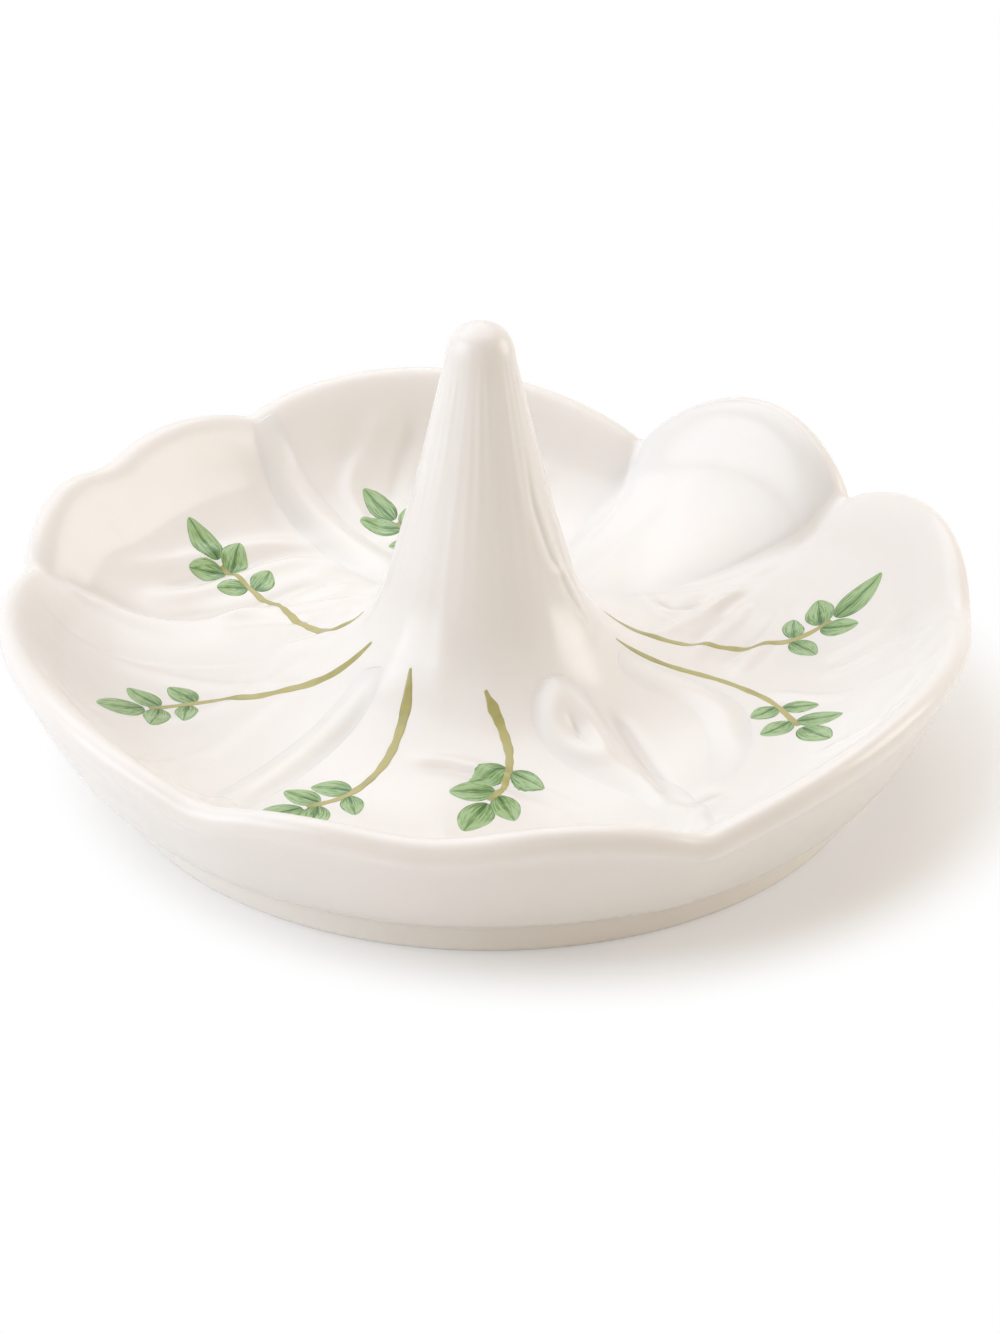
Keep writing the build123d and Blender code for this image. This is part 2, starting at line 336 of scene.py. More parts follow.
# Roots: soft ridges that come down the cone and run out onto the flare, each as an azimuth round the cone,
# half its width in degrees, its swelling in mm and the height where it starts. A negative swelling is a fold.
cone_roots = (
    (-131, 12, 0.26, 34), (-109, 8, 0.14, 38), (-97, 8, -0.1, 28), (-66, 6, -0.12, 30), (-45, 15, 0.2, 36),
    (-20, 11, 0.2, 28), (12, 8, -0.1, 30), (33, 11, 0.18, 33), (66, 9, 0.14, 27), (88, 7, -0.12, 31),
    (107, 10, 0.24, 34), (140, 8, 0.14, 28), (168, 8, -0.1, 30), (190, 11, 0.2, 32), (212, 7, -0.12, 27),
)


def root_swelling(azimuth, height):
    """Outward swelling of the roots: a bell across each, times the way down from its start to the full height
    and the way up from its end, both to the power 1.5."""
    full_height, end_height, end_run = 17, 9.2, 6
    swelling = np.zeros(np.broadcast(azimuth, height).shape)
    for bearing, half_width, rise, start in cone_roots:
        apart = (azimuth - bearing + 180) % 360 - 180
        grown = np.clip((start - height) / (start - full_height), 0, 1) ** 1.5
        fading = np.clip((height - end_height) / end_run, 0, 1) ** 1.5
        swelling = swelling + rise * np.exp(-((apart / half_width) ** 2)) * fading * grown
    return swelling


def smooth_way(rows, per_row=8):
    """Curve through rows of points: a cubic between each two, with tangents along their outer neighbours."""
    rows = np.asarray(rows, float)
    before = np.concatenate([2 * rows[:1] - rows[1:2], rows[:-2]])
    after = np.concatenate([rows[2:], 2 * rows[-1:] - rows[-2:-1]])
    t = np.linspace(0, 1, per_row, endpoint=False)[None, :, None]
    p0, p1, p2, p3 = before[:, None], rows[:-1, None], rows[1:, None], after[:, None]
    bend = 2 * p0 - 5 * p1 + 4 * p2 - p3
    way = 0.5 * (2 * p1 + (p2 - p0) * t + bend * t**2 + (3 * p1 - p0 - 3 * p2 + p3) * t**3)
    return np.concatenate([way.reshape(-1, rows.shape[1]), rows[-1:]])


def plan(rows):
    """Smooth plan curve through rows of (radius, azimuth) round the foot's centre."""
    return smooth_way(np.stack(polar(*np.asarray(rows, float).T), axis=1))


def beside(x, y, curve):
    """For every point: how far it lies from a plan curve, positive on the curve's left, and the share of the
    curve's length at the nearest place. Points out of reach of the curve are passed over and count as far."""
    reach, far = 9, 99.0
    apart, share = np.full(x.shape, far), np.zeros(x.shape)
    low, high = curve.min(axis=0) - reach, curve.max(axis=0) + reach
    close = (x > low[0]) & (x < high[0]) & (y > low[1]) & (y < high[1])
    px, py = x[close], y[close]
    best, signed, along = np.full(px.shape, np.inf), np.full(px.shape, far), np.zeros(px.shape)
    steps = np.linalg.norm(np.diff(curve, axis=0), axis=1)
    run = np.concatenate([[0], np.cumsum(steps)]) / steps.sum()
    for k in range(len(curve) - 1):
        way = curve[k + 1] - curve[k]
        t = np.clip(((px - curve[k, 0]) * way[0] + (py - curve[k, 1]) * way[1]) / (way @ way), 0, 1)
        dx, dy = px - curve[k, 0] - t * way[0], py - curve[k, 1] - t * way[1]
        gap = np.hypot(dx, dy)
        nearer = gap < best
        side = np.where(way[0] * dy - way[1] * dx >= 0, 1.0, -1.0)
        best = np.where(nearer, gap, best)
        signed = np.where(nearer, gap * side, signed)
        along = np.where(nearer, run[k] + (run[k + 1] - run[k]) * t, along)
    apart[close], share[close] = signed, along
    return apart, share


def eased(value, low, high):
    """Smooth step from 0 at low to 1 at high: three times the square of the way less twice its cube."""
    t = np.clip((value - low) / (high - low), 0, 1)
    return t * t * (3 - 2 * t)


# Veins: rounded lines drawn in the clay, each with its rise and half width in mm and its way over the dish as
# rows of radius and azimuth. A negative rise is a scored line.
veins = (
    (0.59, 1.25, ((51, 160), (47.5, 153), (44.6, 143), (42.9, 133), (41.5, 126), (39, 117))),
    (0.64, 1.25, ((46.5, 160), (41.6, 151), (39.4, 138), (38.6, 129), (36.4, 119))),
    (-0.36, 1.1, ((47.2, 156), (43.5, 150), (41.6, 140), (40.6, 131), (39, 121))),
    (-0.38, 1.1, ((43.5, 160), (38.3, 153), (35.4, 144), (34.6, 134), (33.6, 124))),
    (0.54, 1.1, ((37, 158), (35.4, 155), (31.3, 142), (30.7, 132), (30.3, 120))),
    (0.41, 1, ((39.7, 159), (33.6, 152), (27.3, 138), (24, 128))),
    (-0.28, 1.1, ((35.5, 160), (30.7, 153), (27.7, 150), (25.5, 146), (22, 142))),
    (0.28, 0.7, ((55.2, 155), (54, 154), (52.7, 153), (50, 151))),
    (0.33, 0.9, ((27, 168), (24, 166), (20, 165), (16, 168))),
    (0.77, 1.2, ((55.1, 103), (53.4, 105), (52.3, 106), (49.6, 109.5), (45.8, 113), (38, 112))),
    (-0.33, 1.2, ((54, 100), (51.5, 102), (48, 105), (43, 107.5))),
    (0.4, 1.1, ((55, 108), (53.6, 111), (52, 114), (50, 116), (46, 117.5))),
    (0.44, 1.1, ((50, 88), (45.5, 93), (41, 99), (35, 103), (29, 104))),
    (0.33, 1, ((51, 80), (46.5, 84), (41, 88), (34, 91))),
    (0.52, 1.05, ((29.5, 49), (27.3, 45), (26.6, 39), (28.4, 35.5), (31.6, 35), (36.2, 36), (40, 38))),
    (-0.36, 1.1, ((30.4, 46.5), (28.9, 43), (29, 39), (31.2, 38), (35, 39))),
    (0.42, 1.35, ((30, 46), (32.2, 42.5), (37.2, 40.5), (41, 38.8), (46.3, 36.6), (51.7, 34.6))),
    (0.54, 1.15, ((18.7, 17), (23, 25), (26.6, 30), (33.2, 34), (39.5, 36), (43.6, 34))),
    (-0.3, 1.3, ((20.5, 22), (24.5, 29.5), (29, 33.5), (34.5, 36.2))),
    (0.52, 1.15, ((23, 4), (26, 14), (29.3, 21), (34.5, 28), (38.5, 32))),
    (-0.28, 1.3, ((24.5, 16), (27.8, 23.5), (32, 28.5), (36, 32.5))),
    (0.46, 1.15, ((27.5, 0), (29.9, 6), (33.8, 14), (38.1, 21), (42.3, 28))),
    (-0.26, 1, ((26.5, 5), (30.5, 13), (35, 20), (39, 26))),
    (0.49, 1, ((37.8, 0), (41.4, 1), (46.1, 2), (51, -1), (54.5, -2))),
    (0.28, 0.9, ((39, 5), (43, 7), (48, 7), (52.5, 4))),
    (0.28, 1, ((30.7, -6), (35.4, -6), (41.2, -8), (46.9, -7), (51, -11))),
    (0.49, 1.1, ((42, -30), (45.5, -26), (49.5, -23), (53.4, -21))),
    (0.38, 0.8, ((24.2, -118), (22.9, -108), (22.8, -99), (24.3, -87), (27.9, -77), (33, -69))),
    (-0.33, 0.8, ((25.6, -114), (23.9, -104), (24.6, -92), (26.8, -83), (29.6, -75), (33.6, -71))),
    (0.33, 1.1, ((44, -62), (41.2, -57), (38.4, -51), (38, -44))),
    (-0.36, 1.3, ((33, -56), (36.3, -52), (36.6, -48), (36.9, -43))),
    (-0.49, 1.1, ((17.5, -40), (19, -42.5), (21.5, -44.5), (24.5, -47), (28.6, -50), (33, -52.5), (37, -53))),
    (0.23, 1.2, ((45.5, -105), (41, -101), (36, -98), (30, -99))),
    (0.28, 1.2, ((49.5, -146), (43, -148), (36, -152), (29, -160), (22, -172))),
    (0.26, 1.2, ((50, 178), (42, 178), (33, -178), (24, -170), (18, -160))),
    (0.28, 1.1, ((51, -162), (44, -163), (36, -166), (28, -173), (21, 175))),
    (0.33, 1.1, ((34.5, 156), (30.4, 151), (26.6, 146), (22, 143))),
)

# Folds: where one leaf's edge lies over its neighbour. The leaf on the left of the way, seen along it, is the
# upper one. Each has the step in mm, how far behind its edge the upper leaf settles, half the width of the
# step, and its way.
folds = (
    (1.05, 6, 0.6, ((29, 141), (33, 150), (37, 157), (41, 161), (45, 163), (49.3, 164.5), (53, 166.5), (56, 167))),
    (0.6, 7, 1.5, ((55.5, 125), (52.6, 125), (49.3, 124.4), (45.5, 123), (41, 120.5), (35, 116), (29, 111))),
    (0.48, 6, 0.7, ((31, 46.5), (37.2, 43.8), (42.5, 41.8), (47.6, 39), (52.4, 37.4), (55.5, 36.3))),
    (0.5, 6, 0.8, ((36, -51), (40, -55), (44, -59), (49, -63), (55.5, -66))),
    (0.4, 7, 0.9, ((55, -124), (51, -126), (46.5, -129), (41, -132))),
)
vein_ways = [plan(rows) for *sizes, rows in veins]
fold_ways = [plan(rows) for *sizes, rows in folds]


def moulded(x, y):
    """Veins and folds above the plain face, in mm. A vein is a bell across its way, and a fold is a soft step
    whose upper side settles exponentially and whose lower side has a narrow gutter. All taper at both ends."""
    lift = np.zeros(x.shape)
    for (rise, half_width, _), way in zip(veins, vein_ways):
        apart, share = beside(x, y, way)
        ends = eased(share, 0.0, 0.22) * eased(share, 1.0, 0.75)
        lift += rise * np.exp(-(apart / half_width) ** 2) * ends
    for (step, settling, softness, _), way in zip(folds, fold_ways):
        apart, share = beside(x, y, way)
        ends = eased(share, 0.0, 0.3) * eased(share, 1.0, 0.97)
        behind = np.clip(apart - softness, 0, None)
        upper = 0.5 * (1 + np.tanh(apart / softness)) * np.exp(-((behind / settling) ** 1.5))
        gutter = np.exp(-((apart + 2.2 * softness) / (1.7 * softness)) ** 2)
        lift += step * (upper - 0.32 * gutter) * ends
    return lift


def lip_fade(radius, azimuth):
    """Veins run out over the last millimetres below the lip."""
    return 1 - eased(bowl_share(radius, azimuth), 0.88, 1.0)


def drift(radius, azimuth):
    """Shift along X: the face is centred on the cone at the seat and on the foot at the rim."""
    return cone_offset * np.clip(1 - bowl_share(radius, azimuth), 0, None)


def over_face(radius, azimuth, swelling=0):
    """Plan point of the face round its shifted centre. A swelling adds to the radius but not to the shift."""
    x, y = polar(radius + swelling, azimuth)
    return drift(radius, azimuth) + x, y


def face_at(x, y):
    """Height of the finished inner face over any plan point outside the cone. The shift and the swelling
    depend on the radius that they change, so each is worked out a few times over."""
    shift = np.full(x.shape, cone_offset)
    for _ in range(4):
        radius, azimuth = np.hypot(x - shift, y), np.degrees(np.arctan2(y, x - shift))
        shift = drift(radius, azimuth)
    own = radius
    for _ in range(2):
        own = radius - root_swelling(azimuth, flare_height(own))
    return plain_face(own, azimuth) + moulded(x, y) * lip_fade(radius, azimuth)


def between(start, start_way, end, end_way, steps):
    """Cubic from one (radius, height) pair of arrays to another with those tangents, ends left out."""
    t = np.linspace(0, 1, steps + 2)[1:-1, None]
    return [cubic(t, start[k], start_way[k], end[k], end_way[k]) for k in (0, 1)]


dish_around = 600
bearings = np.arange(dish_around) * 360 / dish_around
crest_radius, crest_height = rim_at(bearings)
outer_edge = crest_radius - lip_inset + lip_radius


def wall_at(share):
    """Outer wall: the radius swells with the square root of the way up, the height rises evenly."""
    radius = foot_outer + (outer_edge - foot_outer) * share**wall_fullness
    return radius, foot_height + (crest_height - lip_radius - foot_height) * share


def bead_at(angle):
    """Lip: a round bead, by its angle in degrees from its outer side over the crest."""
    out, up = polar(lip_radius, angle)
    return crest_radius - lip_inset + out, crest_height - lip_radius + up


# Outside: a cove out of the foot, the wall between these shares of its height, and a curve up to the bead.
# The ways are the tangents of the two cubics
wall_from, wall_to = 0.035, 0.8
wall = wall_at(wall_from + (wall_to - wall_from) * np.linspace(0, 1, 15)[:, None] ** 1.6)
cove_way = [3 * (b - a) for a, b in zip(wall_at(wall_from), wall_at(wall_from + 0.01))]
cove = between((foot_outer - 0.04, foot_height - 1.0), (0.1, 1.6), [v[0] for v in wall], cove_way, 5)
wall_way = [18 * (b - a) for a, b in zip(wall_at(wall_to - 0.015), wall_at(wall_to))]
bead = bead_at(np.linspace(bead_start, bead_end, 9)[:, None])
bead_way = [4.5 * v for v in (-np.sin(np.radians(bead_start)), np.cos(np.radians(bead_start)))]
up_to_lip = between([v[-1] for v in wall], wall_way, [v[0] for v in bead], bead_way, 6)

# Inside: rings from the bead down to the bowl's start, up the flare and a little way under the cone, where
# the last four dive, so that the cone's skirt lies over them
bowl_rings, flare_rings, dives = 96, 20, 0.02 * np.array([1, 2, 3, 5]) * np.linspace(0.25, 1, 4) ** 2
face_share = 1 - np.linspace(0, 1, bowl_rings + 1)[1:, None] ** 1.25
face_radius = np.concatenate([
    bowl_start + (crest_edge(bearings)[0] - bowl_start) * face_share,
    np.linspace(bowl_start, seat_radius, flare_rings + 1)[1:, None] + 0 * bearings,
    np.linspace(seat_radius, seat_radius - seat_overlap, len(dives) + 1)[1:, None] + 0 * bearings,
])
face_height = plain_face(face_radius, bearings)
face_height[-len(dives):] -= dives[:, None]
face_x, face_y = over_face(face_radius, bearings, root_swelling(bearings, flare_height(face_radius)))
face_lift = moulded(face_x, face_y) * lip_fade(face_radius, bearings)
face_skin = np.stack([face_x, face_y, face_height + face_lift], axis=2)


def placed(radius, height, shift=0.0):
    """Rings of points at these radii and heights round the foot's centre, moved along X."""
    x, y, height = np.broadcast_arrays(*polar(radius, bearings), height)
    return np.stack([shift + x, y, height], axis=-1)


roof_radius = np.linspace(seat_opening, underside_edge, 8)
ceiling = floor_height - dish_thickness
roof = ceiling + (seat_height - ceiling) * np.exp((seat_opening - roof_radius) / flare_length)
underside = np.stack([placed(r, z, cone_offset) for r, z in zip(roof_radius, roof)])
resting = np.stack([
    placed(underside_edge, foot_height + 0.2, cone_offset), placed(underside_edge, foot_height, cone_offset),
    placed(bed_radius, foot_height),
])
dish_rings = np.concatenate([
    placed(*cove), placed(*wall), placed(*up_to_lip), placed(*bead), face_skin, underside, resting,
])
dish = fired("leaf_dish", dish_rings, band_quads(len(dish_rings), dish_around, joined=True))


def paint_hollow_shade(piece, shade_share):
    """Point attribute that tells the glaze where to darken with painted shade, from 0 to 1."""
    layer = piece.data.attributes.new("hollow", "FLOAT", "POINT")
    layer.data.foreach_set("value", np.clip(shade_share, 0, 1).astype(np.float32).ravel())


# Painted shade: the outer wall is darkened more and more down toward the foot, and the inner face in its scored
# lines and gutters, at its darkest in a hollow of this depth in mm
deep_hollow = 0.35
wall_rings = len(cove[0]) + len(wall[0])
outer_rings = wall_rings + len(up_to_lip[0])
first_face = outer_rings + len(bead[0])
# Painted shade down the outer wall, darkest at the cove above the foot
wall_shade = np.interp(np.arange(outer_rings), (0, wall_rings, outer_rings - 1), (0.8, 0.55, 0))
painted_shade = np.zeros(dish_rings.shape[:2])
painted_shade[:outer_rings] = wall_shade[:, None]
painted_shade[first_face:first_face + len(face_skin)] = -face_lift / deep_hollow
paint_hollow_shade(dish, painted_shade)
# The second colour is the painted shade in hollows and the random cloudy tone
porcelain = glazed("porcelain_glaze", (0.895, 0.873, 0.846, 1), (0.79, 0.762, 0.728, 1), 0.25)
dish.data.materials.append(porcelain)
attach(dish, "root")
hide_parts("dish")

# ------
# Ring cone: hollow spire of the same body, luted to the raised seat and sponged until the join is gone. Its
# roots run down onto the flare, and its tip is round so that rings slip over it.
cone_height = 55.0
cone_tip_radius = 3.9
cone_wall = 2.4
# Outline: shares of the way up, and of the seat's radius
cone_outline = np.array([(0.12, 0.826), (0.25, 0.72), (0.4, 0.605), (0.56, 0.493), (0.72, 0.392), (0.85, 0.312)])
cone_span = cone_height - seat_height
tip_turn = np.radians([20, 50])
cone_rows = np.concatenate([
    [(seat_radius, seat_height)],
    np.stack([seat_radius * cone_outline[:, 1], seat_height + cone_span * cone_outline[:, 0]], axis=1),
    np.stack([cone_tip_radius * np.cos(tip_turn), cone_height - cone_tip_radius * (1 - np.sin(tip_turn))], axis=1),
    [(0.0, cone_height)],
])
# Rows beyond both ends, which only lead the curve in and out
flare_foot = (cone_rows[1, 0] + 7.0, cone_rows[1, 1] - 9.0)
mirrored_tip = (-cone_rows[-2, 0], cone_rows[-2, 1])
rings_per_row = 14
guided = np.concatenate([[flare_foot], cone_rows, [mirrored_tip]])
cone_profile = smooth_way(guided, rings_per_row)[rings_per_row:-rings_per_row]
# Skirt: the cone's foot laid over the flare, diving under the face at its edge
skirt_radius = np.linspace(seat_radius + seat_overlap, seat_radius, len(dives) + 1)[:-1]
skirt = np.stack([skirt_radius, plain_face(skirt_radius, np.full(len(dives), -90.0)) - dives[::-1]], axis=1)
cone_around = 360
cone_turn = np.arange(cone_around) * 360 / cone_around
outer_profile = np.concatenate([skirt, cone_profile[:-1]])
# Hollow: one wall's thickness inside the outline, rounded off at the top
hollow_shares = np.array([0.68, 0.66, 0.62, 0.56, 0.4, 0.25, 0.12, 0.0])
inner_height = seat_height + cone_span * hollow_shares
inner_radius = np.interp(inner_height, cone_rows[:-1, 1], cone_rows[:-1, 0]) - cone_wall
inner_radius[:3] = (0.2, 1.6, 3.0)
inner_radius[-1] = seat_opening
cone_outer = turned_around(outer_profile, cone_around)
# Flutes: faint waves round the cone, each with its count, lead and mm of height for a radian's turn
flute_height = outer_profile[:, 1:]
flute_turn = np.radians(cone_turn)
flutes = sum(
    np.cos(count * flute_turn + lead + flute_height / pitch)
    for count, lead, pitch in ((13, 0.4, 9), (19, 2.1, -14), (29, 4.4, 11), (37, 1.3, -8))
)
flute_rise = 0.012
flutes *= flute_rise * eased(flute_height, 19, 27) * eased(flute_height, 54, 46)
# Twig pressed up the cone's right flank: height and azimuth along its scored line
twig_way = np.array([
    (17.5, -18.0), (21.2, -20.6), (23.4, -24.4), (26.2, -29.6), (28.9, -35.1), (31.9, -37.8), (34.9, -40.5),
    (39.8, -38.5), (46.0, -34.0),
])
twig_turn = np.interp(flute_height, twig_way[:, 0], twig_way[:, 1])
aside = np.radians((cone_turn + 180) % 360 - 180 - twig_turn) * outer_profile[:, :1]
# A ridge on each side and the scored line between them: rise, place aside of the line and half width in mm
twig_relief = ((0.24, 0.95, 0.7), (0.12, -1.1, 0.9), (-0.18, 0, 0.36))
twig = sum(rise * np.exp(-(((aside - off) / half_width) ** 2)) for rise, off, half_width in twig_relief)
twig *= eased(flute_height, 17.5, 21.5) * eased(flute_height, 43, 32)
knot_height, knot_rise, knot_spread = 26.2, 0.4, 0.75
twig += knot_rise * np.exp(-(aside**2 + (flute_height - knot_height) ** 2) / knot_spread)
swell = root_swelling(cone_turn, flute_height) + flutes + twig
cone_outer[..., :2] += np.stack(polar(swell, cone_turn), axis=2)
cone_inner = turned_around(np.stack([inner_radius, inner_height], axis=1), cone_around)
cone_rings = np.concatenate([cone_inner, cone_outer]) + (cone_offset, 0, 0)
tips = np.array([[cone_offset, 0, inner_height[0]], [cone_offset, 0, cone_height]])
cone_points = np.concatenate([cone_rings.reshape(-1, 3), tips])
# Fans of triangles close the hollow's top and the tip
place = np.arange(cone_around)
right = (place + 1) % cone_around
last = (len(cone_rings) - 1) * cone_around
fans = np.concatenate([
    np.stack([place, right, np.full(cone_around, len(cone_points) - 2)], axis=1)[:, ::-1],
    np.stack([last + place, last + right, np.full(cone_around, len(cone_points) - 1)], axis=1),
])
cone = fired("ring_spire", cone_points, band_quads(len(cone_rings), cone_around), fans)
# Painted shade in the cone's flutes, the folds between its roots and the twig's scored line, darkest in a groove of
# this depth in mm
deep_flute = 0.3
flute_shade = np.zeros(len(cone_points))
flute_shade[len(cone_inner) * cone_around:-2] = (-swell / deep_flute).ravel()
paint_hollow_shade(cone, flute_shade)
cone.data.materials.append(porcelain)
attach(cone, "root")
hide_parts("ring_cone")

# ------
# Upright leaf: a pad of clay pressed into the tallest leaf edge at the back right, crowned like a spoon's
# back. Its right side drops into a gutter, and its left side melts into the next leaf.
leaf_crown = 1.5
# Rows: share of the way from the seat to the bead's top, azimuths of the right and left edges, share of the
# crown
leaf_rows = (
    (0.27, 53, 66, 0), (0.31, 49.5, 69.5, 0.1), (0.38, 46.6, 72.6, 0.34), (0.48, 44.6, 74, 0.7),
    (0.6, 42.8, 74.2, 0.92), (0.72, 40.8, 73.8, 1), (0.83, 38.8, 72.8, 0.9), (0.92, 37.4, 71.4, 0.58),
    (0.975, 36.9, 70.4, 0.22), (0.998, 36.7, 69.8, 0),
)


def pad_quads(along, across):
    """Quads of a closed pad whose rings run over its top and back under it: the band, and a strip that shuts
    each end."""
    quads = band_quads(along, 2 * across)
    first, final = np.arange(across - 1), (along - 1) * 2 * across
    partner = 2 * across - 1 - first
    start = np.stack([first, partner, partner - 1, first + 1], axis=1)
    end = final + np.stack([first + 1, partner - 1, partner, first], axis=1)
    return np.concatenate([quads, start, end])


def pad_flat(along, across):
    """Marks a pad's sides and underside, so that they don't shade its top."""
    under = np.tile(np.arange(2 * across) >= across - 1, along - 1)
    return np.concatenate([under, np.ones(2 * (across - 1), bool)])


def wrapped(px, py, top, bottom):
    """Rings that run over the top from one side to the other, and back under it."""
    over, under = (np.stack([px, py, height], axis=2) for height in (top, bottom))
    return np.concatenate([over, under[:, ::-1]], axis=1)


def pad(name, px, py, lift, across, along):
    """Closed pad over the dish's face. The top is the face plus the lift, and its rim dips a little into the
    face. The bottom lies under the face, deepest in the middle."""
    rim_dip, edge_depth, middle_depth = 0.01, 0.1, 0.5
    face = face_at(px, py)
    near_rim = np.maximum(np.abs(across), np.abs(2 * along - 1))
    top = face + lift - rim_dip * eased(near_rim, 0.8, 1.0)
    sunk = face - edge_depth - middle_depth * (1 - across**2) * np.minimum(1, 8 * along * (1 - along))
    return fired(name, wrapped(px, py, top, sunk), pad_quads(*px.shape), flat=pad_flat(*px.shape))


def leaf_profile(across, share):
    """A dome: the square of 1 less a power of the way to the edge, fuller on the right, which is -1, than on
    the left. Left of its middle one bell is taken away for a hollow and one added for the ridge beside it, and
    both run out toward the rim."""
    right = (1 - np.abs(np.clip(across, -1, 0)) ** 4.5) ** 2
    left = (1 - np.clip(across, 0, 1) ** 2.4) ** 2
    run_out = 1 - eased(share, 0.72, 0.95)
    hollow = 0.3 * np.exp(-(((across - 0.34) / 0.2) ** 2)) * run_out
    ridge = 0.26 * np.exp(-(((across - 0.7) / 0.11) ** 2)) * run_out
    return np.where(across < 0, right, left) - hollow + ridge


across_leaf = 110
leaf_table = smooth_way(leaf_rows, 14)
leaf_across = np.linspace(-1, 1, across_leaf)[None, :]
leaf_along = np.linspace(0, 1, len(leaf_table))[:, None]
middle = (leaf_table[:, 1] + leaf_table[:, 2])[:, None] / 2
leaf_bearing = middle + leaf_across * (leaf_table[:, 2] - leaf_table[:, 1])[:, None] / 2
leaf_reach = crest_edge(leaf_bearing)[0] - seat_radius
leaf_radius = seat_radius + leaf_reach * leaf_table[:, :1]
leaf_x, leaf_y = over_face(leaf_radius, leaf_bearing)
leaf_lift = leaf_crown * leaf_table[:, 3:] * leaf_profile(leaf_across, leaf_table[:, :1])
leaf = pad("upright_leaf_pad", leaf_x, leaf_y, leaf_lift, leaf_across, leaf_along)
leaf.data.materials.append(porcelain)
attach(leaf, "root")
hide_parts("upright_leaf")

# ------
# Curled bud: a teardrop of clay on the flare at the front right. Its head is a bead rolled round a dimple,
# and its tail runs out toward the front notch.
bud_half_width = 4.4
bud_crown = 1.45
bud_line = (
    (0.02, -57, 0.45, 0), (0.055, -57.3, 0.8, 0.5), (0.11, -58, 0.98, 0.95), (0.175, -58, 1, 1),
    (0.26, -56.5, 0.86, 0.88), (0.35, -54.5, 0.7, 0.64), (0.44, -53.2, 0.6, 0.42), (0.54, -54.2, 0.56, 0.2),
    (0.62, -56, 0.52, 0),
)


def evenly(way, steps):
    """Distances along a curve at even steps, and its columns read there. The first two columns are its plan."""
    lengths = np.concatenate([[0], np.cumsum(np.linalg.norm(np.diff(way[:, :2], axis=0), axis=1))])
    even = np.linspace(0, lengths[-1], steps)
    return even, [np.interp(even, lengths, column) for column in way.T]


def sideways(x, y, across, half_width):
    """Plan points beside a curve: from each of its points across, in shares of the half width, to the left."""
    dx, dy = np.gradient(x), np.gradient(y)
    out = across * (half_width / np.hypot(dx, dy))[:, None]
    return x[:, None] - dy[:, None] * out, y[:, None] + dx[:, None] * out


def laid_on(name, line, half_width, crown, profile, steps):
    """Pad along a line over the dish's face. A row of the line is (share of the way from seat to rim,
    azimuth, share of the half width, share of the crown). The lift is crown times profile(across, along),
    with -1 on the line's right and 1 on its left."""
    rows = np.asarray(line, float)
    radius = seat_radius + (rim_radius - seat_radius) * rows[:, 0]
    table = np.stack([*over_face(radius, rows[:, 1]), rows[:, 2], rows[:, 3]], axis=1)
    even, (x, y, width, height) = evenly(smooth_way(table, 40), steps[0])
    across = np.linspace(-1, 1, steps[1])[None, :]
    along = (even / even[-1])[:, None]
    px, py = sideways(x, y, across, half_width * width)
    return pad(name, px, py, crown * height[:, None] * profile(across, along), across, along)


def bud_profile(across, along):
    """Rounded across, as 1 less the square of the way to the edge, to the power 1.7. A ring with a bell's
    section is added round an eye near the head, and two bells are taken away for a dimple and a short slit."""
    body = (1 - across**2) ** 1.7
    from_eye = np.hypot(across / 0.6, (along - 0.235) / 0.16)
    bead = 0.34 * np.exp(-(((from_eye - 1.0) / 0.4) ** 2))
    dimple = 0.3 * np.exp(-((from_eye / 0.62) ** 2))
    slit = 0.4 * np.exp(-((across / 0.13) ** 2) - ((along - 0.225) / 0.055) ** 2)
    return body * (0.8 + bead) - dimple - slit


bud = laid_on("curled_bud_moulding", bud_line, bud_half_width, bud_crown, bud_profile, (120, 64))
bud.data.materials.append(porcelain)
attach(bud, "root")
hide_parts("curled_bud")

# ------
# Stalks, rib and root: narrow rolls of soft clay, pressed on along the leaves' middles and joins, and
# smoothed out on both sides with a wet brush.
stalk_crown = 0.9
# Each with half its width in mm and its line
stalk_lines = {
    "front_stalk": (2.8, (
        (0.38, -53.8, 1, 0), (0.46, -53, 1, 0.55), (0.56, -54.5, 0.95, 0.62), (0.68, -58, 0.9, 0.6),
        (0.78, -61.5, 0.9, 0.55), (0.87, -64.2, 0.85, 0.3), (0.92, -65.4, 0.8, 0),
    )),
    "left_stalk": (2.5, (
        (0.03, -144, 0.8, 0), (0.14, -140, 1, 0.85), (0.27, -138, 1.05, 1.1), (0.42, -136.5, 1.05, 1.05),
        (0.56, -135, 1, 0.8), (0.72, -132, 0.95, 0.4), (0.86, -127.5, 0.9, 0),
    )),
    "back_rib": (2.8, (
        (0.06, 107, 0.8, 0), (0.22, 110.5, 0.95, 0.6), (0.42, 114, 1.05, 0.95), (0.62, 118.4, 1.1, 1.05),
        (0.78, 121.2, 1.05, 1), (0.88, 122.2, 0.95, 0.6), (0.96, 122.6, 0.8, 0),
    )),
    "right_root": (3.2, (
        (0.06, -15, 0.8, 0), (0.16, -12, 0.95, 0.4), (0.27, -11.5, 1, 0.6), (0.35, -16, 1, 0.6),
        (0.41, -25, 0.9, 0.4), (0.45, -32, 0.75, 0.18), (0.48, -38, 0.6, 0.04), (0.5, -43, 0.5, 0),
    )),
}


def stalk_profile(across, along):
    """The square of 1 less the square of the way to the edge, so it is level with the face at both edges."""
    return (1 - across**2) ** 2 + 0 * along


for node, (half_width, line) in stalk_lines.items():
    stalk = laid_on(node + "_roll", line, half_width, stalk_crown, stalk_profile, (120, 28))
    stalk.data.materials.append(porcelain)
    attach(stalk, "root")
    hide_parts(node)

# ------
# Painted sprigs: seven leafy twigs brushed on in green and olive enamel and fired into the glaze. Each has a
# thin stem from the cone's foot and five pointed leaflets, a few hundredths of a millimetre proud.
paint_proud = 0.07
paint_across = 9
stem_steps = 90
leaflet_steps = 26
